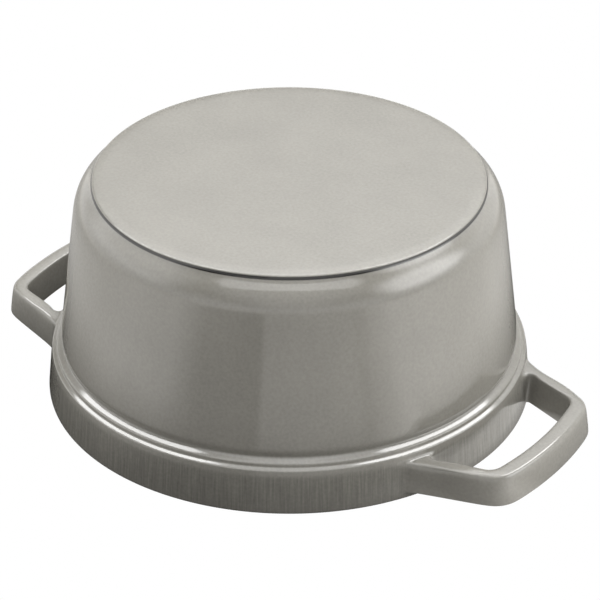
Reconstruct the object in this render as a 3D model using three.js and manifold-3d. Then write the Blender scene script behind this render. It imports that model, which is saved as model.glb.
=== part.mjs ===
// A round enamelled cast-iron dutch oven, turned over to stand on its rim above its own lid.
// Millimetres, +Z up. The origin is the centre of the rim plane, on the surface that the oven stands on.
// The base faces up, the loop handles lie along X, and the lid's knob points up into the pot.

import * as THREE from 'three';
import { mergeVertices } from 'three/addons/utils/BufferGeometryUtils.js';
import Module from 'manifold-3d';

// Pot: rim band, shoulder bead, wall and base
const RIM_RADIUS = 107;
const RIM_WALL = 7;
const RIM_EDGE_ROUND = 0.6;
const BAND_HEIGHT = 19.3;
const BAND_DRAFT = THREE.MathUtils.degToRad(5.9);
const BAND_ROUND = 1.5;
const BEAD_STEP = 1.9;
const BEAD_HEIGHT = 6.5;
const BEAD_ROUND = 2.4;
const GROOVE_DEPTH = 0.5;
const GROOVE_HEIGHT = 2.3;
const WALL_STEP = 2.45;
const WALL_DRAFT = THREE.MathUtils.degToRad(7.35);
const WALL_THICKNESS = 3.8;
const CORNER_ROUND = 16.8;
const BODY_HEIGHT = 101;
const BASE_THICKNESS = 4.4;

// Foot: the raised disc in the middle of the base
const FOOT_INSET = 6.45;
const FOOT_RISE = 0.25;
const FOOT_DEPTH = 3.6;
const FOOT_EDGE_WIDTH = 4.6;
const FOOT_EDGE_DROP = 0.6;
const FOOT_EDGE_ROUND = 0.8;

// Loop handles, cast with the rim band: plan sizes are at the underside, and both sides lean in to the top
const HANDLE_REACH = 32.1;
const HANDLE_HEIGHT = 13.9;
const HANDLE_LIFT = 2.5;
const HANDLE_ROOT_WIDTH = 91.8;
const HANDLE_TIP_WIDTH = 70.4;
const HANDLE_BAR = 12;
const HANDLE_ARM = 9.4;
const HANDLE_BOW = 160;
const HANDLE_DRAFT = THREE.MathUtils.degToRad(8);
const HANDLE_GAP_DRAFT = THREE.MathUtils.degToRad(10.5);
const HANDLE_TIP_ROUND = 13;
const HANDLE_GAP_ROUND = 5;
const HANDLE_ROOT_ROUND = 3;
const HANDLE_WEB_ROUND = 2.5;
const HANDLE_EDGE_ROUND = 1.5;
const HANDLE_FOOT_ROUND = 0.9;
const HANDLE_SINK = 4;

// Lid seat: a rabbet round the mouth of the pot
const RABBET_DEPTH = 7;
const SEAT_WIDTH = 4;
const LID_CLEARANCE = 0.8;
const FLANGE_CLEARANCE = 0.3;
const DOME_CLEARANCE = 1.2;

// Enamel coat inside the pot and under the lid
const COAT_THICKNESS = 0.6;
const COAT_CLEARANCE = 0.2;
const COAT_EDGE = 1.5;

// Lid: flange, low dome and the flat bosses for the knob
const LID_SHOULDER = 11;
const LID_SHOULDER_ROUND = 4;
const LID_WALL = 4.5;
const LID_THICKNESS = 4.2;
const LID_EDGE_ROUND = 0.8;
const DOME_RISE = 8;
const BOSS_RADIUS = 15;
const BOSS_RISE = 0.8;
const UNDER_BOSS_RADIUS = 13;
const BOSS_THICKNESS = 6.2;

// Basting spikes on the lid's underside, in rings of six, twelve, eighteen and so on
const SPIKE_RINGS = 3;
const SPIKE_FIRST_RING = 22;
const SPIKE_RING_STEP = 24;
const SPIKE_BASE_RADIUS = 2.6;
const SPIKE_TIP_RADIUS = 1;
const SPIKE_HEIGHT = 3.5;

// Knob and the screw that holds it
const SEAT_CLEARANCE = 0.1;
const KNOB_FOOT_RADIUS = 10.5;
const KNOB_FOOT_HEIGHT = 2.2;
const KNOB_NECK_RADIUS = 7.5;
const KNOB_NECK_HEIGHT = 7.8;
const KNOB_RADIUS = 19;
const KNOB_HEAD_HEIGHT = 10;
const KNOB_HEAD_ROUND = 3.5;
const KNOB_CROWN = 2;
const SCREW_RADIUS = 2.9;
const SCREW_REACH = 10;
const SCREW_CLEARANCE = 0.3;
const SCREW_HEAD_RADIUS = 5.5;
const SCREW_HEAD_HEIGHT = 3.2;
const SCREW_HEAD_ROUND = 1.4;
const SLOT_WIDTH = 1.3;
const SLOT_DEPTH = 1.4;
const WASHER_RADIUS = 8;
const WASHER_THICKNESS = 1.2;
const SPRING_WASHER_RADIUS = 5.2;
const SPRING_WASHER_THICKNESS = 1.4;
const SPRING_WASHER_SPLIT = THREE.MathUtils.degToRad(14);

// Facets
const POT_TURN_STEPS = 56;
const LID_TURN_STEPS = 40;
const SMALL_TURN_STEPS = 20;
const SPIKE_SIDES = 6;
const ARC_STEP = THREE.MathUtils.degToRad(23);
const DOME_STEPS = 3;
const BOW_STEPS = 4;
const EDGE_STEPS = 2;
const ROOT_STEPS = 4;
const TIP_STEPS = 4;

// Sizes that follow from the ones above
const rabbetRadius = RIM_RADIUS - RIM_WALL;
const mouthRadius = rabbetRadius - SEAT_WIDTH;
const shoulderTop = BAND_HEIGHT + BEAD_HEIGHT;
const bandTopRadius = RIM_RADIUS - BAND_HEIGHT * Math.tan(BAND_DRAFT);
const beadRadius = bandTopRadius - BEAD_STEP;
const wallRootRadius = beadRadius - WALL_STEP;
const footRadius = wallRadiusAt(BODY_HEIGHT) - FOOT_INSET;
const footTop = BODY_HEIGHT + FOOT_RISE;
const coatInset = COAT_CLEARANCE + COAT_THICKNESS;

const flangeRadius = rabbetRadius - LID_CLEARANCE;
const flangeTop = RABBET_DEPTH - FLANGE_CLEARANCE;
const domeRadius = mouthRadius - coatInset - DOME_CLEARANCE;
const hollowRadius = domeRadius - LID_WALL;
const domeSphere = (domeRadius ** 2 + DOME_RISE ** 2) / (2 * DOME_RISE);
const domeCentre = LID_SHOULDER + DOME_RISE - domeSphere;
const bossTop = LID_SHOULDER + DOME_RISE + BOSS_RISE;
const bossUnder = bossTop - BOSS_THICKNESS;
const screwHoleRadius = SCREW_RADIUS + SCREW_CLEARANCE;
const washerTop = bossUnder - SEAT_CLEARANCE;
const springWasherTop = washerTop - WASHER_THICKNESS - SEAT_CLEARANCE;
const screwHeadTop = springWasherTop - SPRING_WASHER_THICKNESS - SEAT_CLEARANCE;
const knobSeat = bossTop + SEAT_CLEARANCE;

const wasm = await Module();
wasm.setup();

// The drafted outer wall: its radius at a height above the rim plane.
function wallRadiusAt(height) {
  return wallRootRadius - (height - shoulderTop) * Math.tan(WALL_DRAFT);
}

// The lid's top surface: its height at a radius.
function domeHeightAt(radius) {
  return domeCentre + Math.sqrt(domeSphere ** 2 - radius ** 2);
}

// An outline through corners [x, y, radius, steps], where each radius is an arc in place of the corner.
function rounded(corners, closed = false) {
  const count = corners.length;
  const points = [];
  corners.forEach(([x, y, radius = 0, arcSteps = 0], index) => {
    const corner = new THREE.Vector2(x, y);
    const atEnd = !closed && (index === 0 || index === count - 1);
    if (radius === 0 || atEnd) {
      points.push(corner);
      return;
    }
    const [beforeX, beforeY, beforeRadius] = corners[(index + count - 1) % count];
    const [afterX, afterY, afterRadius] = corners[(index + 1) % count];
    const before = new THREE.Vector2(beforeX, beforeY).sub(corner);
    const after = new THREE.Vector2(afterX, afterY).sub(corner);
    const half = before.angleTo(after) / 2;
    const roomBefore = before.length() / (beforeRadius ? 2 : 1);
    const roomAfter = after.length() / (afterRadius ? 2 : 1);
    const tangent = Math.min(radius / Math.tan(half), roomBefore, roomAfter);
    const arcRadius = tangent * Math.tan(half);
    const toCentre = before.clone().normalize().add(after.clone().normalize()).normalize();
    const centre = corner.clone().addScaledVector(toCentre, arcRadius / Math.sin(half));
    const start = corner.clone().addScaledVector(before.normalize(), tangent);
    const turn = Math.PI - 2 * half;
    const side = Math.sign(before.cross(after));
    const steps = arcSteps || Math.ceil(turn / ARC_STEP);
    for (let step = 0; step <= steps; step += 1) {
      points.push(start.clone().rotateAround(centre, (-side * turn * step) / steps));
    }
  });
  return points;
}

// A geometry with shared vertices and no collapsed faces.
function welded(geometry) {
  geometry.deleteAttribute('normal');
  geometry.deleteAttribute('uv');
  const merged = mergeVertices(geometry, 1e-4);
  const faces = [];
  for (let i = 0; i < merged.index.count; i += 3) {
    const face = [merged.index.getX(i), merged.index.getX(i + 1), merged.index.getX(i + 2)];
    if (new Set(face).size === 3) {
      faces.push(...face);
    }
  }
  merged.setIndex(faces);
  return merged;
}

// A solid turned about Z from a profile of (radius, height) points, listed with the solid on their left.
function turned(profile, steps) {
  const geometry = new THREE.LatheGeometry(profile, steps);
  geometry.rotateX(Math.PI / 2);
  return welded(geometry);
}

// A ring turned about Z from a profile that closes on itself.
function turnedRing(profile, steps) {
  return turned([...profile, profile[0]], steps);
}

function toManifold(geometry) {
  const mesh = new wasm.Mesh({
    numProp: 3,
    vertProperties: new Float32Array(geometry.attributes.position.array),
    triVerts: new Uint32Array(geometry.index.array),
  });
  return new wasm.Manifold(mesh);
}

function toGeometry(solid) {
  const mesh = solid.getMesh();
  const geometry = new THREE.BufferGeometry();
  geometry.setAttribute('position', new THREE.BufferAttribute(mesh.vertProperties, 3));
  geometry.setIndex(new THREE.BufferAttribute(mesh.triVerts, 1));
  return geometry;
}

// The cavity of the pot from its mouth to the axis, drawn in by an inset for the coats that lie on it.
function cavity(inset, bottom) {
  const radius = mouthRadius - inset;
  const thickness = WALL_THICKNESS + inset;
  const innerWallAt = (height) => wallRadiusAt(height) - thickness / Math.cos(WALL_DRAFT);
  const ceiling = BODY_HEIGHT - BASE_THICKNESS - inset;
  const bend = shoulderTop + (innerWallAt(shoulderTop) - radius) / Math.tan(WALL_DRAFT);
  return [
    [radius, bottom],
    [radius, bend],
    [innerWallAt(ceiling), ceiling, CORNER_ROUND - thickness],
    [0, ceiling],
  ];
}

// Pot casting: the turned body, the foot disc on its base and the two loop handles.
function potBody() {
  const inside = cavity(0, RABBET_DEPTH).reverse();
  return turned(rounded([
    ...inside,
    [rabbetRadius, RABBET_DEPTH],
    [rabbetRadius, 0, RIM_EDGE_ROUND / 2, EDGE_STEPS],
    [RIM_RADIUS, 0, RIM_EDGE_ROUND, EDGE_STEPS],
    [bandTopRadius, BAND_HEIGHT, BAND_ROUND],
    [beadRadius - GROOVE_DEPTH, BAND_HEIGHT],
    [beadRadius, BAND_HEIGHT + GROOVE_HEIGHT],
    [beadRadius, shoulderTop, BEAD_ROUND],
    [wallRootRadius, shoulderTop],
    [wallRadiusAt(BODY_HEIGHT), BODY_HEIGHT, CORNER_ROUND],
    [0, BODY_HEIGHT],
  ]), POT_TURN_STEPS);
}

function potFoot() {
  return turned(rounded([
    [0, footTop - FOOT_DEPTH],
    [footRadius, footTop - FOOT_DEPTH],
    [footRadius, footTop - FOOT_EDGE_DROP, FOOT_EDGE_ROUND],
    [footRadius - FOOT_EDGE_WIDTH, footTop],
    [0, footTop],
  ]), POT_TURN_STEPS);
}

// One half of a handle side in plan: its root on the band, the corner at the tip and the bowed bar.
// The side is an offset of the handle's outside by the thickness of the arm and of the bar.
function handleSide(arm, bar, rootRound, rootRun, tipRound) {
  const reach = RIM_RADIUS + HANDLE_REACH;
  const bow = HANDLE_BOW - bar;
  const bowAt = (y) => reach - HANDLE_BOW + Math.sqrt(bow ** 2 - y ** 2);
  const rootHalf = HANDLE_ROOT_WIDTH / 2;
  const splay = Math.atan((HANDLE_ROOT_WIDTH - HANDLE_TIP_WIDTH) / 2 / HANDLE_REACH);
  const shift = arm / Math.cos(splay);
  const armAt = (x) => rootHalf - shift - (x - RIM_RADIUS) * Math.tan(splay);

  // Where the arm's side meets the round band, with run the distance along the band that its fillet may take
  const foot = new THREE.Vector2(0, armAt(0));
  const along = new THREE.Vector2(Math.cos(splay), -Math.sin(splay));
  const near = foot.dot(along);
  const meet = -near + Math.sqrt(near ** 2 - foot.lengthSq() + RIM_RADIUS ** 2);
  const root = foot.clone().addScaledVector(along, meet);
  const bandPoint = root.clone().rotateAround(new THREE.Vector2(), rootRun / RIM_RADIUS);
  const sunk = bandPoint.clone().setLength(RIM_RADIUS - HANDLE_SINK);

  // Where the arm's side meets the bowed bar
  const centreX = reach - HANDLE_BOW;
  const start = new THREE.Vector2(RIM_RADIUS - centreX, armAt(RIM_RADIUS));
  const close = start.dot(along);
  const run = -close + Math.sqrt(close ** 2 - start.lengthSq() + bow ** 2);
  const tip = start.addScaledVector(along, run);
  const corners = [
    [sunk.x, sunk.y],
    [bandPoint.x, bandPoint.y],
    [root.x, root.y, rootRound, ROOT_STEPS],
    [tip.x + centreX, tip.y, tipRound, TIP_STEPS],
  ];
  for (let step = 1; step < BOW_STEPS; step += 1) {
    const y = tip.y * (1 - step / BOW_STEPS);
    corners.push([bowAt(y), y]);
  }
  return corners;
}

// A whole side of the handle, from one root round the bar to the other.
function handleLine(arm, bar, rootRound, rootRun, tipRound) {
  const half = handleSide(arm, bar, rootRound, rootRun, tipRound);
  const middle = [RIM_RADIUS + HANDLE_REACH - bar, 0];
  const mirrored = half.map(([x, y, radius]) => [x, -y, radius]).reverse();
  return rounded([...half, middle, ...mirrored]);
}

// A cross-section of the handle between two points of its plan: drafted sides and rounded edges.
function handleSection(outer, inner) {
  const width = outer.distanceTo(inner);
  const top = HANDLE_LIFT + HANDLE_HEIGHT;
  const outerTop = HANDLE_HEIGHT * Math.tan(HANDLE_DRAFT);
  const innerTop = width - HANDLE_HEIGHT * Math.tan(HANDLE_GAP_DRAFT);
  const outline = rounded([
    [0, HANDLE_LIFT, HANDLE_FOOT_ROUND, EDGE_STEPS],
    [width, HANDLE_LIFT, HANDLE_FOOT_ROUND, EDGE_STEPS],
    [innerTop, top, HANDLE_EDGE_ROUND, EDGE_STEPS],
    [outerTop, top, HANDLE_EDGE_ROUND, EDGE_STEPS],
  ], true);
  return outline.map((point) => {
    const place = outer.clone().lerp(inner, point.x / width);
    return new THREE.Vector3(place.x, place.y, point.y);
  });
}

// A solid skinned over a row of sections with the same number of points, closed at both ends.
function lofted(sections) {
  const sides = sections[0].length;
  const faces = [];
  for (let row = 0; row + 1 < sections.length; row += 1) {
    for (let side = 0; side < sides; side += 1) {
      const here = row * sides + side;
      const next = row * sides + ((side + 1) % sides);
      faces.push(here, here + sides, next, next, here + sides, next + sides);
    }
  }
  const last = (sections.length - 1) * sides;
  for (let side = 1; side + 1 < sides; side += 1) {
    faces.push(0, side, side + 1, last, last + side + 1, last + side);
  }
  const geometry = new THREE.BufferGeometry().setFromPoints(sections.flat());
  geometry.setIndex(faces);
  return geometry;
}

function loopHandle() {
  const outside = handleLine(0, 0, HANDLE_ROOT_ROUND, HANDLE_ROOT_ROUND, HANDLE_TIP_ROUND);
  const inside = handleLine(HANDLE_ARM, HANDLE_BAR, HANDLE_WEB_ROUND, -3 * HANDLE_WEB_ROUND, HANDLE_GAP_ROUND);
  return lofted(outside.map((point, index) => handleSection(point, inside[index])));
}

function potCasting() {
  const handle = loopHandle();
  const opposite = handle.clone().rotateZ(Math.PI);
  const casting = [potFoot(), handle, opposite].reduce(
    (solid, piece) => solid.add(toManifold(piece)),
    toManifold(potBody()),
  );
  return toGeometry(casting);
}

// Pot lining: the enamel coat on the cavity, from just inside the lid's seat.
function potLining() {
  const edge = RABBET_DEPTH + COAT_EDGE;
  const outside = cavity(COAT_CLEARANCE, edge);
  const inside = cavity(coatInset, edge).reverse();
  return turned([...rounded(inside), ...rounded(outside)], POT_TURN_STEPS);
}

// Points across the dome from one radius to another, lowered by a depth.
function domeRun(from, to, depth) {
  return Array.from({ length: DOME_STEPS + 1 }, (_, step) => {
    const radius = THREE.MathUtils.lerp(from, to, step / DOME_STEPS);
    return [radius, domeHeightAt(radius) - depth];
  });
}

function lidCasting() {
  const shoulder = [domeRadius, domeHeightAt(domeRadius), LID_SHOULDER_ROUND];
  const hollowCorner = [hollowRadius, domeHeightAt(hollowRadius) - LID_THICKNESS, LID_SHOULDER_ROUND];
  return turnedRing(rounded([
    [screwHoleRadius, bossUnder],
    [UNDER_BOSS_RADIUS, bossUnder],
    ...domeRun(UNDER_BOSS_RADIUS, hollowRadius, LID_THICKNESS).slice(0, -1),
    hollowCorner,
    [hollowRadius, 0, LID_EDGE_ROUND, EDGE_STEPS],
    [flangeRadius, 0, LID_EDGE_ROUND, EDGE_STEPS],
    [flangeRadius, flangeTop, LID_EDGE_ROUND, EDGE_STEPS],
    [domeRadius, flangeTop, LID_EDGE_ROUND, EDGE_STEPS],
    shoulder,
    ...domeRun(domeRadius, BOSS_RADIUS, 0).slice(1),
    [BOSS_RADIUS, bossTop, BOSS_RISE / 2, EDGE_STEPS],
    [screwHoleRadius, bossTop],
  ], true), LID_TURN_STEPS);
}

// Spikes stand square to the dome, with their feet sunk half into the coat.
function spike(radius, angle) {
  const sink = COAT_THICKNESS / 2;
  const geometry = new THREE.CylinderGeometry(
    SPIKE_BASE_RADIUS, SPIKE_TIP_RADIUS, SPIKE_HEIGHT + sink, SPIKE_SIDES,
  );
  const lean = Math.asin(radius / domeSphere);
  const surface = domeHeightAt(radius) - LID_THICKNESS - coatInset;
  geometry.rotateX(Math.PI / 2);
  geometry.translate(0, 0, sink - (SPIKE_HEIGHT + sink) / 2);
  geometry.rotateY(lean);
  geometry.translate(radius, 0, surface);
  geometry.rotateZ(angle);
  return welded(geometry);
}

// Lid lining: the enamel coat in the lid's hollow, round the boss for the screw, with its basting spikes.
function lidLining() {
  const hole = UNDER_BOSS_RADIUS + COAT_CLEARANCE;
  const coatLine = (inset, round) => {
    const radius = hollowRadius - inset;
    return [
      ...domeRun(hole, radius, LID_THICKNESS + inset).slice(0, -1),
      [radius, domeHeightAt(radius) - LID_THICKNESS - inset, round],
      [radius, COAT_EDGE],
    ];
  };
  const upper = rounded(coatLine(COAT_CLEARANCE, LID_SHOULDER_ROUND - COAT_CLEARANCE));
  const lower = rounded(coatLine(coatInset, LID_SHOULDER_ROUND - coatInset));
  let lining = toManifold(turnedRing([...lower, ...upper.reverse()], LID_TURN_STEPS));
  for (let ring = 0; ring < SPIKE_RINGS; ring += 1) {
    const count = 6 * (ring + 1);
    for (let index = 0; index < count; index += 1) {
      const angle = (2 * Math.PI * index) / count;
      lining = lining.add(toManifold(spike(SPIKE_FIRST_RING + ring * SPIKE_RING_STEP, angle)));
    }
  }
  return toGeometry(lining);
}

// Knob: a turned mushroom with a blind hole for the screw, measured up from its seat.
function lidKnob() {
  const holeDepth = SCREW_REACH + SCREW_CLEARANCE;
  const headFoot = KNOB_FOOT_HEIGHT + KNOB_NECK_HEIGHT;
  const headTop = headFoot + KNOB_HEAD_HEIGHT;
  return turned(rounded([
    [0, holeDepth],
    [screwHoleRadius, holeDepth],
    [screwHoleRadius, 0],
    [KNOB_FOOT_RADIUS, 0, KNOB_FOOT_HEIGHT / 4, EDGE_STEPS],
    [KNOB_FOOT_RADIUS, KNOB_FOOT_HEIGHT, KNOB_FOOT_HEIGHT / 2, EDGE_STEPS],
    [KNOB_NECK_RADIUS, KNOB_FOOT_HEIGHT, KNOB_FOOT_HEIGHT / 2, EDGE_STEPS],
    [KNOB_NECK_RADIUS, headFoot, KNOB_HEAD_ROUND],
    [KNOB_RADIUS, headFoot + KNOB_HEAD_HEIGHT / 2, KNOB_HEAD_ROUND],
    [KNOB_RADIUS, headTop - KNOB_CROWN, KNOB_HEAD_ROUND],
    [KNOB_RADIUS / 2, headTop - KNOB_CROWN / 4],
    [0, headTop],
  ]), SMALL_TURN_STEPS);
}

// Screw: a slotted pan head below the spring washer, with a shank up into the knob.
function knobScrew() {
  const shankTop = knobSeat + SCREW_REACH - screwHeadTop;
  const blank = toManifold(turned(rounded([
    [0, -SCREW_HEAD_HEIGHT],
    [SCREW_HEAD_RADIUS, -SCREW_HEAD_HEIGHT, SCREW_HEAD_ROUND, EDGE_STEPS],
    [SCREW_HEAD_RADIUS, 0],
    [SCREW_RADIUS, 0],
    [SCREW_RADIUS, shankTop, SCREW_RADIUS / 4, EDGE_STEPS],
    [0, shankTop],
  ]), SMALL_TURN_STEPS));
  const cutter = new THREE.BoxGeometry(3 * SCREW_HEAD_RADIUS, SLOT_WIDTH, 2 * SLOT_DEPTH);
  cutter.translate(0, 0, -SCREW_HEAD_HEIGHT);
  return toGeometry(blank.subtract(toManifold(welded(cutter))));
}

function screwWasher() {
  return turnedRing([
    new THREE.Vector2(screwHoleRadius, -WASHER_THICKNESS),
    new THREE.Vector2(WASHER_RADIUS, -WASHER_THICKNESS),
    new THREE.Vector2(WASHER_RADIUS, 0),
    new THREE.Vector2(screwHoleRadius, 0),
  ], SMALL_TURN_STEPS);
}

// Spring washer: a flat ring that is split on one side.
function springWasher() {
  const from = SPRING_WASHER_SPLIT / 2;
  const to = 2 * Math.PI - from;
  const plan = new THREE.Shape();
  plan.absarc(0, 0, SPRING_WASHER_RADIUS, from, to, false);
  plan.absarc(0, 0, screwHoleRadius, to, from, true);
  const geometry = new THREE.ExtrudeGeometry(plan, {
    depth: SPRING_WASHER_THICKNESS,
    bevelEnabled: false,
    curveSegments: SMALL_TURN_STEPS / 2,
  });
  geometry.translate(0, 0, -SPRING_WASHER_THICKNESS);
  return welded(geometry);
}

// Finishes
const greyEnamel = { color: 0x9c9b95, roughness: 0.18, metalness: 0 };
const blackEnamel = { color: 0x1b1b1c, roughness: 0.6, metalness: 0 };
const polishedSteel = { color: 0xc9c9c6, roughness: 0.2, metalness: 1 };
const zincSteel = { color: 0xa7a8a6, roughness: 0.4, metalness: 1 };

function piece(name, geometry, finish, height = 0) {
  const mesh = new THREE.Mesh(geometry, new THREE.MeshStandardMaterial(finish));
  mesh.name = name;
  mesh.position.z = height;
  return mesh;
}

const pot = new THREE.Group();
pot.add(
  piece('pot_casting', potCasting(), greyEnamel),
  piece('pot_lining', potLining(), blackEnamel),
);

const lid = new THREE.Group();
lid.add(
  piece('lid_casting', lidCasting(), greyEnamel),
  piece('lid_lining', lidLining(), blackEnamel),
  piece('lid_knob', lidKnob(), polishedSteel, knobSeat),
  piece('knob_screw', knobScrew(), zincSteel, screwHeadTop),
  piece('screw_washer', screwWasher(), zincSteel, washerTop),
  piece('spring_washer', springWasher(), zincSteel, springWasherTop),
);

const dutchOven = new THREE.Group();
dutchOven.add(pot, lid);

export default dutchOven;
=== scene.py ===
"""A round enamelled cast-iron dutch oven, upturned over its own lid, with a small studio round it.

Run as a script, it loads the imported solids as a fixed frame, makes the finished pieces on them
and sets the stage. Lengths are metres, +Z is up, and the handles lie along X.
"""

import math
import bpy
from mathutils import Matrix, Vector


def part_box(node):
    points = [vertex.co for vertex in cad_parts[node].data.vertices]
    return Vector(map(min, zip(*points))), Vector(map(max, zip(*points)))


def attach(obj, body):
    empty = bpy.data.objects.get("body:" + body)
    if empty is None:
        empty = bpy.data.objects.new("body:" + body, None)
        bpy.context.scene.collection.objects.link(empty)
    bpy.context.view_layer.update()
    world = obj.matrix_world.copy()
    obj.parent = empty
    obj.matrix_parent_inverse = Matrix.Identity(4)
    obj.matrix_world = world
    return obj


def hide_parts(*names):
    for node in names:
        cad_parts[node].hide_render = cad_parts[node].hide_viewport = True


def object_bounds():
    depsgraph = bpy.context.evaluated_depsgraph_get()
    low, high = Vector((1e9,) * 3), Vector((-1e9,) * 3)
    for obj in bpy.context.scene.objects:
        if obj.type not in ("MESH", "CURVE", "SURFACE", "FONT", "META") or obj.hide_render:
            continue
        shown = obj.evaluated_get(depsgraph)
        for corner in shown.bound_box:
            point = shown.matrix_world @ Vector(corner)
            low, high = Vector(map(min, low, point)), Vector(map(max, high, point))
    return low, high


bl_info = {
    "name": "Dutch Oven",
    "version": (1, 0, 0),
    "blender": (4, 5, 0),
    "location": "3D View > Sidebar > Dutch Oven",
    "description": "Makes an enamelled cast-iron dutch oven, upturned over its lid, and its studio",
    "category": "Add Mesh",
}

import bmesh
import bpy
from bpy.props import FloatProperty, IntProperty, PointerProperty, StringProperty
from mathutils import Quaternion, Vector

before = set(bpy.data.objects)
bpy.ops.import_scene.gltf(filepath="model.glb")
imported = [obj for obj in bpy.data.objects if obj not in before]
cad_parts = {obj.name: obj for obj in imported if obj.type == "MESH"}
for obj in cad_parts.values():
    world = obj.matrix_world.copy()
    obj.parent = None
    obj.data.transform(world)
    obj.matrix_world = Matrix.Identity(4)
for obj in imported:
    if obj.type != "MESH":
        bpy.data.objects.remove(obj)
CAD_LOW, CAD_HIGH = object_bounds()
LID_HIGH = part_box("lid_casting")[1]
KNOB_LOW, KNOB_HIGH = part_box("lid_knob")
SCREW_LOW, SCREW_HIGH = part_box("knob_screw")
WASHER_LOW, WASHER_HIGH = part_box("screw_washer")
SPRING_LOW, SPRING_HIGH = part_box("spring_washer")


def mm(value):
    """Millimetres in metres."""
    return value * 0.001


def linear(hex_colour):
    """An sRGB hex value as a linear colour with alpha."""
    parts = [int(hex_colour[i:i + 2], 16) / 255 for i in (1, 3, 5)]
    return [p / 12.92 if p <= 0.04045 else ((p + 0.055) / 1.055) ** 2.4 for p in parts] + [1.0]


def length(name, description, default):
    """A length setting, with its default in millimetres."""
    return FloatProperty(name=name, description=description, default=mm(default), unit="LENGTH")


def angle(name, description, default):
    """An angle setting, with its default in degrees."""
    return FloatProperty(name=name, description=description, default=math.radians(default), subtype="ANGLE")


def colour(name, description, default):
    """A colour setting, as an sRGB hex value."""
    return StringProperty(name=name, description=description, default=default)


def number(name, description, default):
    """A setting without a unit."""
    return FloatProperty(name=name, description=description, default=default)


class PotSettings(bpy.types.PropertyGroup):
    """Sizes of the pot casting."""

    rim_radius: length("Rim radius", "Outside of the rim band at the rim", 107)
    rim_wall: length("Rim wall", "Iron outside the lid's seat", 7)
    seat_width: length("Seat width", "Ledge that the lid rests on", 4)
    seat_depth: length("Seat depth", "Depth of the ledge below the rim", 7)
    band_height: length("Band height", "Height of the thick rim band", 19.3)
    band_draft: angle("Band draft", "Lean of the band", 5.9)
    band_edge: length("Band edge", "Fall from the band's top to its straight side", 2.1)
    bead_step: length("Bead step", "Set-back of the bead from the band", 2.1)
    bead_height: length("Bead height", "Height of the shoulder bead", 6.5)
    bead_drop: length("Bead drop", "Fall of the bead's crest below the shoulder", 3.9)
    bead_slope: angle("Bead slope", "Lean of the bead's top", 26.5)
    ledge_slope: angle("Ledge slope", "Lean of the band's top", 22.5)
    ledge_rise: length("Ledge rise", "Rise of the band's top to the bead", 1.2)
    hollow: length("Hollow", "Depth of the hollow between wall and bead", 0.8)
    wall_step: length("Wall step", "Set-back of the wall from the bead", 2.25)
    wall_draft: angle("Wall draft", "Lean of the wall", 7.35)
    wall_thickness: length("Wall thickness", "Iron in the wall", 3.8)
    corner_round: length("Corner round", "Radius from wall to base", 16.8)
    body_height: length("Body height", "Rim to base without the foot", 101)
    base_thickness: length("Base thickness", "Iron in the base", 4.4)
    foot_radius: length("Foot radius", "Raised disc on the base", 84.5)
    foot_edge: length("Foot edge", "Width of the disc's sloping edge", 4.6)
    foot_drop: length("Foot drop", "Fall of the disc's sloping edge", 0.4)
    coat_gap: length("Coat gap", "Space between iron and inner enamel", 0.2)
    coat_thickness: length("Coat thickness", "Inner enamel", 0.6)
    coat_edge: length("Coat edge", "Iron left bare at the seat", 1.5)


class HandleSettings(bpy.types.PropertyGroup):
    """Sizes of the cast loop handles, in plan at their underside."""

    reach: length("Reach", "Stand-out from the rim", 32.1)
    height: length("Height", "Height of the loop", 13.9)
    lift: length("Lift", "Height of the loop above the rim plane", 3.2)
    root_width: length("Root width", "Width over the arms at the band", 91.8)
    tip_width: length("Tip width", "Width over the arms at the bar", 70.4)
    bar: length("Bar", "Thickness of the bar", 12)
    arm: length("Arm", "Thickness of the arms", 9.4)
    bow: length("Bow", "Radius of the bar's outside", 160)
    draft: angle("Draft", "Lean of the outer sides", 8)
    gap_draft: angle("Gap draft", "Lean of the sides of the finger gap", 10.5)
    tip_round: length("Tip round", "Radius of the outer corners", 13)
    gap_round: length("Gap round", "Radius of the gap's outer corners", 5)
    root_round: length("Root round", "Radius outside the roots", 3)
    web_round: length("Web round", "Radius in the gap at the roots", 1.4)
    edge: length("Edge", "Radius of the upper outer edge", 2.4)
    gap_edge: length("Gap edge", "Radius of the upper edge at the gap", 1.3)
    under_edge: length("Under edge", "Radius of the lower edges", 0.9)


class LidSettings(bpy.types.PropertyGroup):
    """Sizes of the lid casting and of its coat."""

    flange: length("Flange", "Height of the flange in the seat", 6.7)
    dome_radius: length("Dome radius", "Outside of the dome", 94)
    wall: length("Wall", "Iron in the dome's side", 4.5)
    thickness: length("Thickness", "Iron in the dome", 4.2)
    shoulder: length("Shoulder", "Height where the dome starts", 11)
    shoulder_round: length("Shoulder round", "Radius of the dome's edge", 4)
    dome_rise: length("Dome rise", "Rise of the dome", 8)
    boss_radius: length("Boss radius", "Flat boss under the knob", 15)
    under_boss: length("Under boss", "Flat boss for the screw", 13)
    boss_thickness: length("Boss thickness", "Iron between the bosses", 6.2)
    edge: length("Edge", "Radius of the edges", 0.8)
    hole: length("Hole", "Radius of the screw hole", 3.2)
    bare_boss: length("Bare boss", "Iron left bare round the screw's boss", 0.4)


class SpikeSettings(bpy.types.PropertyGroup):
    """Sizes of the basting spikes under the lid."""

    rings: IntProperty(name="Rings", description="Rings of spikes, with six more in each", default=3)
    first_ring: length("First ring", "Radius of the inner ring", 22)
    ring_step: length("Ring step", "Distance between rings", 24)
    base: length("Base", "Radius of a spike at its foot", 2.6)
    tip: length("Tip", "Radius of a spike at its tip", 1)
    height: length("Height", "Height of a spike", 3.5)


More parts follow.
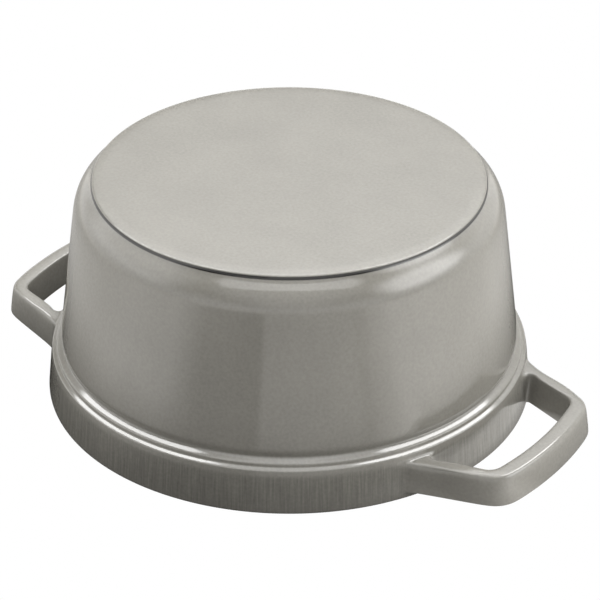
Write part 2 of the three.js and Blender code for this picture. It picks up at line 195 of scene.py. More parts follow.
class KnobSettings(bpy.types.PropertyGroup):
    """Sizes of the knob and its fastening."""

    foot_radius: length("Foot radius", "Foot of the knob", 10.5)
    foot_height: length("Foot height", "Height of the foot", 2.2)
    neck_radius: length("Neck radius", "Neck of the knob", 7.5)
    neck_height: length("Neck height", "Height of the neck", 7.8)
    head_round: length("Head round", "Radius of the head's edges", 3.5)
    crown: length("Crown", "Rise of the head's top", 2)
    shank: length("Shank", "Radius of the screw's shank", 2.9)
    clearance: length("Clearance", "Room round the shank", 0.3)
    screw_head: length("Screw head", "Height of the screw's head", 3.2)
    screw_round: length("Screw round", "Radius of the screw head's edge", 1.4)
    slot_width: length("Slot width", "Slot in the screw's head", 1.3)
    slot_depth: length("Slot depth", "Depth of that slot", 1.4)
    split: angle("Split", "Opening of the spring washer", 14)


class FinishSettings(bpy.types.PropertyGroup):
    """Colours of the finishes, as sRGB hex values."""

    grey_enamel: colour("Grey enamel", "Glossy enamel on the castings", "#72706A")
    black_enamel: colour("Black enamel", "Matt enamel inside", "#1B1B1C")
    polished_steel: colour("Polished steel", "Turned knob", "#C9C9C6")
    zinc_steel: colour("Zinc steel", "Plated screw and washers", "#A7A8A6")
    paper: colour("Paper", "White paper behind the oven", "#FFFFFF")
    floor: colour("Floor", "Light from the warm white table", "#FFFDF9")


class StudioSettings(bpy.types.PropertyGroup):
    """Camera and light. Light azimuths are turns to the camera's right, seen from the oven."""

    azimuth: angle("Azimuth", "Camera's turn round the oven", 35.5)
    elevation: angle("Elevation", "Camera's height over the floor", 31.245)
    roll: angle("Roll", "Camera's turn about its own axis", 0.197)
    distance: length("Distance", "Camera to the oven's axis", 1138.4)
    aim_height: length("Aim height", "Height that the camera looks at", 38.46)
    aim_aside: length("Aim aside", "Distance that the camera looks past the axis", 4.715)
    lens: number("Lens", "Focal length in millimetres", 155.28)
    overhead: number("Overhead", "Radiance of the light overhead", 2.0)
    ceiling: number("Ceiling", "Radiance of the ceiling behind that light", 1.6)
    front_box: number("Front box", "Radiance of the soft light in front", 0.8)
    back_wall: number("Back wall", "Radiance of the lit wall behind", 2.4)
    right_box: number("Right box", "Radiance of the softbox on the right", 4.7)
    right_wing: number("Right wing", "Radiance of the card behind that softbox", 1.0)
    left_box: number("Left box", "Radiance of the softbox on the left", 1.7)
    strips: number("Strips", "Radiance of the two high strip lights", 9.0)
    floor_light: number("Floor light", "Radiance of the lit floor", 1.9)
    horizon: number("Horizon", "Radiance of the far floor and the haze on it", 1.3)


def fillet(before, corner, after, radius, steps):
    """Points of an arc in place of a corner, from the side of one neighbour to the other."""
    to_before = (before - corner).normalized()
    to_after = (after - corner).normalized()
    half = to_before.angle(to_after) / 2
    tangent = radius / math.tan(half)
    centre = corner + (to_before + to_after).normalized() * (radius / math.sin(half))
    start = corner + to_before * tangent - centre
    end = corner + to_after * tangent - centre
    turn = start.angle_signed(end)
    points = []
    for step in range(steps + 1):
        at = -turn * step / steps
        cosine, sine = math.cos(at), math.sin(at)
        x, y = start.x * cosine - start.y * sine, start.x * sine + start.y * cosine
        points.append(centre + Vector((x, y)))
    return points


def arc(radius_at, height_at, size, start, end, steps):
    """Points on an arc about a centre, from one angle above the horizon to another, in degrees."""
    angles = [math.radians(start + (end - start) * step / steps) for step in range(steps + 1)]
    return [(radius_at + size * math.cos(a), height_at + size * math.sin(a)) for a in angles]


def rows_by(radius, height, *steps):
    """Rows close to a place, each given by its steps outward and up in millimetres."""
    return [(radius + mm(out), height + mm(up)) for out, up in steps]


def outline(corners, closed=False):
    """Rows (radius, height) through corners (radius, height, rounding).

    A long straight run gets a row near each end, so that smooth shading turns only at the edges.
    """
    places = [Vector(corner[:2]) for corner in corners]
    points = []
    for i, (place, corner) in enumerate(zip(places, corners)):
        at_end = not closed and i in (0, len(corners) - 1)
        if at_end or len(corner) < 3:
            points.append(place)
        else:
            after = places[(i + 1) % len(places)]
            points += fillet(places[i - 1], place, after, corner[2], steps=6)
    near = mm(0.25)
    rows = []
    for here, there in zip(points, points[1:] + points[:1]):
        rows.append(tuple(here))
        run = there - here
        is_last = not closed and here is points[-1]
        if run.length > 6 * near and not is_last:
            rows.append(tuple(here + run.normalized() * near))
            rows.append(tuple(there - run.normalized() * near))
    return rows


def skin(mesh, here, there):
    """Faces between two rings of vertices, where a ring of one vertex is a pole."""
    count = max(len(here), len(there))
    for i in range(count):
        j = (i + 1) % count
        if len(here) == 1:
            mesh.faces.new((here[0], there[j], there[i]))
        elif len(there) == 1:
            mesh.faces.new((here[i], here[j], there[0]))
        else:
            mesh.faces.new((here[i], here[j], there[j], there[i]))


def turned(rows, columns=96):
    """A closed surface turned about Z from rows (radius, height), between poles or closed on itself."""
    mesh = bmesh.new()
    turns = [math.tau * i / columns for i in range(columns)]
    rings = []
    for radius, height in rows:
        at = turns if radius > 0 else [0]
        rings.append([mesh.verts.new((radius * math.cos(a), radius * math.sin(a), height)) for a in at])
    closes = rows[0][0] > 0
    for here, there in zip(rings, rings[1:] + (rings[:1] if closes else [])):
        skin(mesh, here, there)
    bmesh.ops.recalc_face_normals(mesh, faces=mesh.faces[:])
    return mesh


def wall_line(pot):
    """The drafted wall: a function from height and inset to radius, and the shoulder's height and radius."""
    band_top = pot.rim_radius - pot.band_height * math.tan(pot.band_draft)
    bead = band_top - pot.bead_step
    shoulder = pot.band_height + pot.bead_height
    root = bead - pot.wall_step

    def wall(height, inset=0.0):
        return root - (height - shoulder) * math.tan(pot.wall_draft) - inset / math.cos(pot.wall_draft)

    return wall, shoulder, bead


def pot_rows(pot):
    """Rows (radius, height) of the pot's cage from the cavity's ceiling round the rim to the base.

    Returns the rows and the index of the first of the four band rows that carry the handles.
    """
    rim = pot.rim_radius
    seat = rim - pot.rim_wall
    mouth = seat - pot.seat_width
    draft = math.degrees(pot.wall_draft)
    wall, shoulder, bead = wall_line(pot)
    root = wall(shoulder)

    # Cavity: flat ceiling, round corner, drafted wall and straight mouth
    ceiling = pot.body_height - pot.base_thickness
    inner_round = pot.corner_round - pot.wall_thickness
    inner_centre = ceiling - inner_round
    rows = [(mm(40), ceiling), (mm(70), ceiling)]
    rows += arc(wall(inner_centre, pot.corner_round), inner_centre, inner_round, 88, draft, 5)
    rows += [(wall(height, pot.wall_thickness), height) for height in (mm(76), mm(54), mm(38))]
    rows += [(mouth, mm(33)), (mouth, mm(20))]

    # Lid seat and rim
    rows += rows_by(mouth, pot.seat_depth, (0, 0.8), (0.25, 0.1), (1, 0))
    rows += rows_by(seat, pot.seat_depth, (-0.6, 0), (0, -0.6))
    rows += rows_by(seat, 0, (0, 1), (0.25, 0.25), (1, 0))
    rows += rows_by(rim, 0, (-2, 0), (-0.55, 0), (-0.12, 0.1))

    # Band: four rows that carry the handles, then its round edge and its sloping top
    band = len(rows)
    lean, fall = math.tan(pot.band_draft), math.tan(pot.ledge_slope)
    edge = pot.band_height - pot.band_edge
    ledge = pot.band_height + pot.ledge_rise
    rows += [(rim - height * lean, height) for height in (mm(0.6), mm(3.6), mm(13.2), edge)]
    rows += rows_by(bead + pot.bead_step, pot.band_height, (-0.08, -0.7), (-0.2, 0))
    rows += [(bead + out, ledge - out * fall) for out in (mm(1.8), mm(0.85), mm(0.12))]

    # Bead with a sloping top and a hollow up to the wall
    crest = shoulder - pot.bead_drop
    brow = bead - mm(0.4)
    deep = root - pot.hollow
    rise = (brow - deep) * math.tan(pot.bead_slope)
    rows += rows_by(bead, ledge, (-0.02, 0.12))
    rows += rows_by(bead, crest, (-0.1, -0.4), (-0.18, -0.1))
    rows += rows_by(brow, crest, (0, 0.17))
    rows += rows_by((brow + deep) / 2, crest + rise / 2, (0, 0.17))
    rows += rows_by(deep, crest + rise, (0.3, 0.05), (0.02, 0.4), (0.08, 1))
    rows += rows_by(root, shoulder, (-0.45, -0.9), (-0.15, 0.1))

    # Wall and the round corner to the foot
    heights = [shoulder + mm(up) for up in (1.3, 4, 22, 42, 54)]
    rows += [(wall(height), height) for height in heights]
    foot = pot.foot_radius
    centre = pot.body_height - pot.corner_round
    reach = wall(centre, pot.corner_round)
    corner_end = foot + mm(1.5)
    meets = math.degrees(math.acos((corner_end - reach) / pot.corner_round))
    rows += arc(reach, centre, pot.corner_round, draft, meets, 6)

    # Foot: tight step, rounded edge, sloping ring and flat centre
    step = centre + math.sqrt(pot.corner_round ** 2 - (foot - reach) ** 2)
    top = CAD_HIGH.z - mm(0.01)
    brim = top - pot.foot_drop
    rows += rows_by(foot, step, (0.25, 0.5), (0.03, 0.75))
    rows += rows_by(foot, brim, (0, -0.7), (-0.12, -0.25), (-0.6, 0.05), (-1.4, 0.16))
    rows += rows_by(foot - pot.foot_edge, top, (0.6, -0.06), (-0.6, 0))
    rows += [(mm(60), top), (mm(30), top)]
    return rows, band


def handle_plan(handle, rim):
    """Half of a handle in plan, from its root on the band to the middle of the bar.

    Returns a list of stations, each the points of the outside and of the inside.
    """
    reach = rim + handle.reach
    splay = math.atan((handle.root_width - handle.tip_width) / 2 / handle.reach)
    along = Vector((math.cos(splay), -math.sin(splay)))
    inward = Vector((-math.sin(splay), -math.cos(splay)))
    outer_start = Vector((rim, handle.root_width / 2))
    inner_start = outer_start + inward * handle.arm
    bow_centre = Vector((reach - handle.bow, 0))

    def reach_circle(start, centre, radius):
        """Where the line along an arm's side crosses a circle."""
        offset = start - centre
        near = offset.dot(along)
        return start + along * (-near + math.sqrt(near ** 2 - offset.length_squared + radius ** 2))

    def on_band(point, run):
        at = math.atan2(point.y, point.x) + run / rim
        return Vector((rim * math.cos(at), rim * math.sin(at)))

    def on_bow(radius, y):
        return Vector((bow_centre.x + math.sqrt(radius ** 2 - y ** 2), y))

    origin = Vector((0, 0))
    outer_root = reach_circle(outer_start, origin, rim)
    inner_root = reach_circle(inner_start, origin, rim)
    outer_tip = reach_circle(outer_start, bow_centre, handle.bow)
    inner_bow = handle.bow - handle.bar
    inner_tip = reach_circle(inner_start, bow_centre, inner_bow)

    outer_fillet = fillet(on_band(outer_root, mm(6)), outer_root, outer_tip, handle.root_round, 2)
    inner_fillet = fillet(on_band(inner_root, -mm(15)), inner_root, inner_tip, handle.web_round, 4)
    bow_steps = 6
    outer_bow = [on_bow(handle.bow, outer_tip.y * (1 - i / bow_steps)) for i in range(1, bow_steps + 1)]
    inner_bows = [on_bow(inner_bow, inner_tip.y * (1 - i / bow_steps)) for i in range(1, bow_steps + 1)]
    outer_corner = fillet(outer_root, outer_tip, outer_bow[1], handle.tip_round, 4)
    inner_corner = fillet(inner_root, inner_tip, inner_bows[0], handle.gap_round, 4)
    outer_start_run = outer_corner[0] - outer_root

    outside = outer_fillet[:2] + [outer_root + outer_start_run * share for share in (0.2, 0.42, 0.68, 0.9)]
    inside = inner_fillet + [inner_fillet[-1].lerp(inner_corner[0], 0.45)]
    return list(zip(outside + outer_corner + outer_bow[1:], inside + inner_corner + inner_bows[1:]))


def handle_ring(outer, inner, handle):
    """Twelve points of a handle's drafted section, round from the outside's lower edge."""
    width = (inner - outer).length
    low, high = handle.lift, handle.lift + handle.height
    upper, gap_upper, under = handle.edge, handle.gap_edge, handle.under_edge
    lean_out, lean_in = math.tan(handle.draft), math.tan(handle.gap_draft)
    out_top, in_top = lean_out * handle.height, width - lean_in * handle.height
    soft = 0.2
    section = [
        (soft * under, low + soft * under),
        (under, low),
        (width - under, low),
        (width - soft * under, low + soft * under),
        (width - lean_in * under, low + under),
        (in_top + lean_in * gap_upper, high - gap_upper),
        (in_top - soft * gap_upper, high - soft * gap_upper),
        (in_top - gap_upper, high),
        (out_top + upper, high),
        (out_top + soft * upper, high - soft * upper),
        (out_top - lean_out * upper, high - upper),
        (lean_out * under, low + under),
    ]
    places = [outer.lerp(inner, across / width) for across, _ in section]
    return [(place.x, place.y, height) for place, (_, height) in zip(places, section)]


def pot_cage(pot, handle):
    """A closed cage of quads for the pot: turned rows, with the loop handles drawn out of the band."""
    rows, band = pot_rows(pot)
    stations = handle_plan(handle, pot.rim_radius)
    flare_out, flare_in = (math.atan2(point.y, point.x) for point in stations[0])
    # Columns of a quarter turn: along the finger gap, across a root and the rest
    gap, across, rest = 4, 3, 12
    quarter = [flare_in * i / gap for i in range(gap)]
    quarter += [flare_in + (flare_out - flare_in) * i / across for i in range(across + 1)]
    quarter += [flare_out + (math.pi / 2 - flare_out) * i / rest for i in range(1, rest)]
    half = quarter + [math.pi / 2] + [math.pi - a for a in reversed(quarter)]
    columns = half + [math.pi + a for a in half[1:-1]]
    count = len(columns)

    # Subdivision draws a ring in towards its neighbours, so each column stands out by that much
    gaps = [(columns[(i + 1) % count] - columns[i]) % math.tau for i in range(count)]
    swell = [6 / (4 + math.cos(gaps[i - 1]) + math.cos(gaps[i])) for i in range(count)]
    mesh = bmesh.new()
    grid = [
        [mesh.verts.new((r * s * math.cos(a), r * s * math.sin(a), z)) for a, s in zip(columns, swell)]
        for r, z in rows
    ]

    # Columns of the four roots, each from the outside of its arm to the inside
    outward = list(range(gap + across, gap - 1, -1))
    half_turn = count // 2
    roots = {
        (1, 1): outward,
        (1, -1): [count - i for i in outward],
        (-1, 1): [i + half_turn for i in outward],
        (-1, -1): [half_turn - i for i in outward],
    }
    # A face is known by the first of its columns
    holes = {min(pair) for root in roots.values() for pair in zip(root, root[1:])}
    for row, (lower, upper) in enumerate(zip(grid, grid[1:])):
        for i in range(count):
            if band <= row < band + 3 and i in holes:
                continue
            j = (i + 1) % count
            mesh.faces.new((lower[i], lower[j], upper[j], upper[i]))
    for ring, height in ((grid[0], rows[0][1]), (grid[-1], rows[-1][1])):
        skin(mesh, ring, [mesh.verts.new((0, 0, height))])

    def root_ring(root):
        out, near_out, near_in, inn = root
        r0, r1, r2, r3 = (grid[band + i] for i in range(4))
        return [
            r0[out], r0[near_out], r0[near_in], r0[inn], r1[inn], r2[inn],
            r3[inn], r3[near_in], r3[near_out], r3[out], r2[out], r1[out],
        ]

    rings = [handle_ring(outer, inner, handle) for outer, inner in stations[1:]]
    mirrored = [[(x, -y, z) for x, y, z in ring] for ring in reversed(rings[:-1])]
    for turn in (1, -1):
        loops = [root_ring(roots[turn, 1])]
        for ring in rings + mirrored:
            loops.append([mesh.verts.new((turn * x, turn * y, z)) for x, y, z in ring])
        loops.append(root_ring(roots[turn, -1]))
        for here, there in zip(loops, loops[1:]):
            skin(mesh, here, there)
    bmesh.ops.recalc_face_normals(mesh, faces=mesh.faces[:])
    return mesh


def lining_rows(pot):
    """Rows of the inner enamel: the cavity's line, drawn in twice and joined at the seat."""
    wall, shoulder, _ = wall_line(pot)
    mouth = pot.rim_radius - pot.rim_wall - pot.seat_width
    edge = pot.seat_depth + pot.coat_edge

    def cavity(inset):
        thickness = pot.wall_thickness + inset
        ceiling = pot.body_height - pot.base_thickness - inset
        radius = mouth - inset
        bend = shoulder + (wall(shoulder, thickness) - radius) / math.tan(pot.wall_draft)
        return [
            (0, ceiling),
            (wall(ceiling, thickness), ceiling, pot.corner_round - thickness),
            (radius, bend, mm(30)),
            (radius, edge, mm(0.25)),
        ]

    inside = cavity(pot.coat_gap + pot.coat_thickness)
    outside = cavity(pot.coat_gap)
    return outline(inside + outside[::-1])


def dome_sphere(lid):
    """Radius of the dome's sphere and height of its centre."""
    radius = (lid.dome_radius ** 2 + lid.dome_rise ** 2) / (2 * lid.dome_rise)
    return radius, lid.shoulder + lid.dome_rise - radius


def dome_height(lid, radius):
    """Height of the dome's top surface at a radius."""
    sphere, centre = dome_sphere(lid)
    return centre + math.sqrt(sphere ** 2 - radius ** 2)


def dome_run(lid, start, end, depth):
    """Rows across the dome from one radius to another, lowered by a depth."""
    steps = 8
    radii = [start + (end - start) * i / steps for i in range(steps + 1)]
    return [(radius, dome_height(lid, radius) - depth) for radius in radii]


def lid_rows(lid):
    """Rows of the lid casting, closed round the screw hole."""
    hollow = lid.dome_radius - lid.wall
    boss_top = LID_HIGH.z
    boss_under = boss_top - lid.boss_thickness
    flange = LID_HIGH.x
    under = dome_run(lid, lid.under_boss + mm(2), hollow, lid.thickness)
    over = dome_run(lid, lid.dome_radius, lid.boss_radius + mm(2), 0)
    return outline([
        (lid.hole, boss_under, mm(0.3)),
        (lid.under_boss, boss_under, mm(0.3)),
        (lid.under_boss + mm(0.3), dome_height(lid, lid.under_boss) - lid.thickness, mm(0.1)),
        *under[:-1],
        (*under[-1], lid.shoulder_round),
        (hollow, 0, lid.edge),
        (flange, 0, lid.edge),
        (flange, lid.flange, lid.edge),
        (lid.dome_radius, lid.flange, lid.edge),
        (*over[0], lid.shoulder_round),
        *over[1:],
        (lid.boss_radius + mm(0.3), dome_height(lid, lid.boss_radius), mm(0.2)),
        (lid.boss_radius, boss_top, mm(0.4)),
        (lid.hole, boss_top, mm(0.3)),
    ], closed=True)


def lid_lining_rows(lid, pot):
    """Rows of the coat in the lid's hollow, closed round the boss."""
    hole = lid.under_boss + pot.coat_gap + lid.bare_boss

    def line(inset):
        radius = lid.dome_radius - lid.wall - inset
        run = dome_run(lid, hole, radius, lid.thickness + inset)
        return [*run[:-1], (*run[-1], lid.shoulder_round - inset), (radius, pot.coat_edge, mm(0.2))]

    lower = line(pot.coat_gap + pot.coat_thickness)
    upper = line(pot.coat_gap)
    return outline(lower + upper[::-1], closed=True)


def knob_rows(knob):
    """Rows of the turned knob, from the end of its blind hole round to its crown."""
    base, top = KNOB_LOW.z, KNOB_HIGH.z
    head = base + knob.foot_height + knob.neck_height
    hole = knob.shank + knob.clearance
    depth = SCREW_HIGH.z + knob.clearance
    radius = KNOB_HIGH.x
    half_head = (top - head) / 2
    rows = outline([
        (0, depth),
        (hole, depth, mm(0.2)),
        (hole, base, mm(0.3)),
        (knob.foot_radius, base, mm(0.5)),
        (knob.foot_radius, base + knob.foot_height, mm(1)),
        (knob.neck_radius, base + knob.foot_height, mm(1)),
        (knob.neck_radius, head, knob.head_round),
        (radius, head + half_head, knob.head_round),
        (radius, top - knob.crown, knob.head_round),
        (radius * 0.7, top - knob.crown * 0.45, mm(20)),
    ])
    # Low crown: an arc from the end of the sloping edge to the pole
    arc_radius, arc_rise = radius * 0.66, knob.crown * 0.4
    rows += [(arc_radius * c, top - arc_rise * (1 - s)) for c, s in arc(0, 0, 1, 40, 80, 4)]
    return rows + [(0, top)]


def screw_rows(knob):
    """Rows of the pan-head screw, head down."""
    shoulder = SCREW_LOW.z + knob.screw_head
    radius = SCREW_HIGH.x
    return outline([
        (0, SCREW_LOW.z),
        (radius, SCREW_LOW.z, knob.screw_round),
        (radius, shoulder, mm(0.2)),
        (knob.shank, shoulder, mm(0.2)),
        (knob.shank, SCREW_HIGH.z, mm(0.7)),
        (0, SCREW_HIGH.z),
    ])


def square_section(inner, outer, low, high, soft):
    """Rows round a ring's square section with soft edges."""
    corners = ((inner, low), (outer, low), (outer, high), (inner, high))
    return outline([(*corner, soft) for corner in corners], closed=True)


def spring_ring(knob):
    """The split washer: a square section carried round from one side of its split to the other."""
    mesh = bmesh.new()
    rise = mm(0.2)
    section = square_section(
        knob.shank + knob.clearance, SPRING_HIGH.y, SPRING_LOW.z, SPRING_HIGH.z - rise, mm(0.15))
    steps = 64
    rings = []
    for step in range(steps + 1):
        share = step / steps
        at = knob.split / 2 + (math.tau - knob.split) * share
        places = [(r * math.cos(at), r * math.sin(at), z + rise * share) for r, z in section]
        rings.append([mesh.verts.new(place) for place in places])
    for here, there in zip(rings, rings[1:]):
        skin(mesh, here, there)
    mesh.faces.new(rings[0])
    mesh.faces.new(rings[-1])
    bmesh.ops.recalc_face_normals(mesh, faces=mesh.faces[:])
    return mesh


def link(name, data):
    """A new object at the origin, in the scene."""
    thing = bpy.data.objects.new(name, data)
    bpy.context.scene.collection.objects.link(thing)
    return thing


def shape(name, mesh, material):
    """A new object from a bmesh, smooth and with a material."""
    data = bpy.data.meshes.new(name)
    mesh.to_mesh(data)
    mesh.free()
    data.materials.append(material)
    data.shade_smooth()
    return link(name, data)


def settle(thing, body, node):
    """Put a piece on the body it rides on and hide the solid it stands for."""
    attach(thing, body)
    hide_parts(node)


def made_plain(thing):
    """Put the result of an object's modifiers into its mesh and take the modifiers off."""
    depsgraph = bpy.context.evaluated_depsgraph_get()
    data = bpy.data.meshes.new_from_object(thing.evaluated_get(depsgraph))
    thing.modifiers.clear()
    thing.data = data


def subdivide(thing, levels):
    """A subdivision surface, the same on screen and in a render."""
    smooth = thing.modifiers.new("Smooth", "SUBSURF")
    smooth.levels = levels
    smooth.render_levels = levels


def add_node(tree, kind, inputs=None, **settings):
    """A node with its settings, whose inputs are set to values or linked to sockets."""
    node = tree.nodes.new(kind)
    for name, value in settings.items():
        setattr(node, name, value)
    for key, value in (inputs or {}).items():
        if isinstance(value, bpy.types.NodeSocket):
            tree.links.new(value, node.inputs[key])
        else:
            node.inputs[key].default_value = value
    return node


def new_material(name):
    """An empty node material and its tree."""
    material = bpy.data.materials.new(name)
    material.use_nodes = True
    material.node_tree.nodes.clear()
    return material, material.node_tree


def cover(tree, kind, inputs):
    """A shader over the whole surface of a material."""
    shader = add_node(tree, kind, inputs)
    add_node(tree, "ShaderNodeOutputMaterial", {"Surface": shader.outputs[0]})


def math_node(tree, operation, *values):
    """The result of a calculation with values or sockets."""
    return add_node(tree, "ShaderNodeMath", dict(enumerate(values)), operation=operation).outputs[0]


def times(tree, product, *factors):
    """The product of values or sockets."""
    for factor in factors:
        product = math_node(tree, "MULTIPLY", product, factor)
    return product


def vector_node(tree, operation, *values):
    """The result of a calculation with vectors, which is a number for a length or a dot product."""
    node = add_node(tree, "ShaderNodeVectorMath", dict(enumerate(values)), operation=operation)
    return node.outputs["Value" if operation in ("LENGTH", "DOT_PRODUCT") else "Vector"]


def map_range(tree, value, low, high, start=0.0, end=1.0, kind="LINEAR"):
    """A value that lies between two limits, stretched to lie between a start and an end."""
    limits = {"Value": value, "From Min": low, "From Max": high, "To Min": start, "To Max": end}
    return add_node(tree, "ShaderNodeMapRange", limits, interpolation_type=kind).outputs[0]


def between(tree, value, low, high, soft):
    """One where a value lies between two limits and nothing outside, with soft edges."""
    above = map_range(tree, value, low - soft, low + soft)
    below = map_range(tree, value, high + soft, high - soft)
    return times(tree, above, below)


def mix(tree, factor, start, end):
    """A value on the way from a start to an end."""
    inputs = {"Factor": factor, "A": start, "B": end}
    return add_node(tree, "ShaderNodeMix", inputs, data_type="FLOAT").outputs[0]


def noise(tree, place, size, low, high, detail=2.0):
    """Soft noise with patches of a given size, as a factor between two values."""
    pattern = add_node(tree, "ShaderNodeTexNoise", {"Vector": place, "Scale": 1 / size, "Detail": detail})
    return map_range(tree, pattern.outputs["Fac"], 0.3, 0.7, low, high)


def place_on(tree):
    """The place on a piece, in its own coordinates."""
    return add_node(tree, "ShaderNodeTexCoord").outputs["Object"]


def parts_of(tree, vector):
    """The X, Y and Z of a vector."""
    return add_node(tree, "ShaderNodeSeparateXYZ", {0: vector}).outputs


def radius_of(tree, place):
    """The distance of a place from the oven's axis."""
    return vector_node(tree, "LENGTH", vector_node(tree, "MULTIPLY", place, (1, 1, 0)))


def tinted(tree, hex_colour, factor):
    """A colour made lighter or darker by a factor."""
    inputs = {0: linear(hex_colour)[:3], "Scale": factor}
    return add_node(tree, "ShaderNodeVectorMath", inputs, operation="SCALE").outputs[0]


def bumped(tree, height, strength, distance):
    """A surface's direction, tilted by a height."""
    inputs = {"Height": height, "Strength": strength, "Distance": distance}
    return add_node(tree, "ShaderNodeBump", inputs).outputs[0]


def grey_enamel(finish, pot):
    """Glossy vitreous enamel: glass fused to iron, with a deep even grey and sharp reflections.

    It lies a little uneven, in soft clouds and a fine grain, is darker in faint vertical streaks on the
    band, is thinner and lighter on the ring round the foot, with painted shade almost black in the notch
    beside it.
    """
    material, tree = new_material("glossy_grey_enamel")
    place = place_on(tree)
    radius = radius_of(tree, place)
    axes = parts_of(tree, place)
    height = axes["Z"]

    # Real grain is finer than a tenth of a millimetre, and is drawn coarser to show at all
    clouds = noise(tree, place, mm(25), 0.96, 1.04)
    grain = noise(tree, place, mm(1.3), 0.93, 1.07, 4.0)

    # Faint darker streaks on the band, twenty times as long as wide
    turn = math_node(tree, "ARCTAN2", axes["Y"], axes["X"])
    around = times(tree, turn, pot.rim_radius)
    drawn_down = math_node(tree, "DIVIDE", height, 20)
    run = add_node(tree, "ShaderNodeCombineXYZ", {"X": around, "Z": drawn_down}).outputs[0]
    streaks = noise(tree, run, mm(0.9), 0.75, 1.02)
    low_down = between(tree, height, mm(-5), pot.band_height - mm(2), mm(1.5))
    near_rim = between(tree, radius, pot.rim_radius - mm(5), pot.rim_radius + mm(0.5), mm(1))
    streak = mix(tree, times(tree, low_down, near_rim), 1.0, streaks)

    # Ring round the foot, and painted shade in the notch beside it
    foot, base = pot.foot_radius, pot.body_height
    on_top = between(tree, height, base - pot.foot_drop - mm(0.3), CAD_HIGH.z + mm(5), mm(0.2))
    on_ring = between(tree, radius, foot - pot.foot_edge, foot + mm(1), mm(0.9))
    thin = map_range(tree, times(tree, on_ring, on_top), 0.0, 1.0, 1.0, 1.03)
    # Painted shade: the notch beside the foot is darkened almost to black, where a groove would lie in
    # shadow
    beside = between(tree, radius, foot - mm(0.25), foot + mm(0.42), mm(0.12))
    in_notch = between(tree, height, base - mm(2.1), base - mm(0.65), mm(0.15))
    dark = map_range(tree, times(tree, beside, in_notch), 0.0, 1.0, 1.0, 0.06)

    shade = times(tree, clouds, grain, streak, thin, dark)
    peel = add_node(tree, "ShaderNodeTexNoise", {"Vector": place, "Scale": 1 / mm(4), "Detail": 1.0})
    cover(tree, "ShaderNodeBsdfPrincipled", {
        "Base Color": tinted(tree, finish.grey_enamel, shade),
        "Roughness": 0.07,
        "IOR": 1.6,
        "Normal": bumped(tree, peel.outputs["Fac"], 1.0, mm(0.012)),
    })
    return material


def black_enamel(finish):
    """Matt vitreous enamel: a black coat with a fine sandy grain that scatters what it reflects."""
    material, tree = new_material("matt_black_enamel")
    # Real grain is about 0.2 mm, and is drawn coarser to show
    grain = noise(tree, place_on(tree), mm(0.9), 0.75, 1.3, 4.0)
    cover(tree, "ShaderNodeBsdfPrincipled", {
        "Base Color": tinted(tree, finish.black_enamel, grain),
        "Roughness": 0.55,
        "IOR": 1.52,
        "Normal": bumped(tree, grain, 0.6, mm(0.05)),
    })
    return material


def polished_steel(finish):
    """Stainless steel, turned and polished: bright, with faint rings from the tool."""
    material, tree = new_material("polished_stainless_steel")
    radius = radius_of(tree, place_on(tree))
    rings = add_node(tree, "ShaderNodeCombineXYZ", {"X": radius}).outputs[0]
    # Tool marks are about 0.1 mm apart, and are drawn coarser to show
    cut = noise(tree, rings, mm(0.35), 0.0, 1.0, 3.0)
    cover(tree, "ShaderNodeBsdfPrincipled", {
        "Base Color": linear(finish.polished_steel),
        "Metallic": 1,
        "Roughness": noise(tree, rings, mm(0.5), 0.14, 0.26, 3.0),
        "Normal": bumped(tree, cut, 0.3, mm(0.01)),
    })
    return material


def zinc_steel(finish):
    """Zinc-plated steel: a dull silver with a cloudy bloom."""
    material, tree = new_material("zinc_plated_steel")
    place = place_on(tree)
    bloom = noise(tree, place, mm(2.5), 0.82, 1.1, 3.0)
    cover(tree, "ShaderNodeBsdfPrincipled", {
        "Base Color": tinted(tree, finish.zinc_steel, bloom),
        "Metallic": 1,
        "Roughness": noise(tree, place, mm(1.2), 0.32, 0.5, 3.0),
    })
    return material


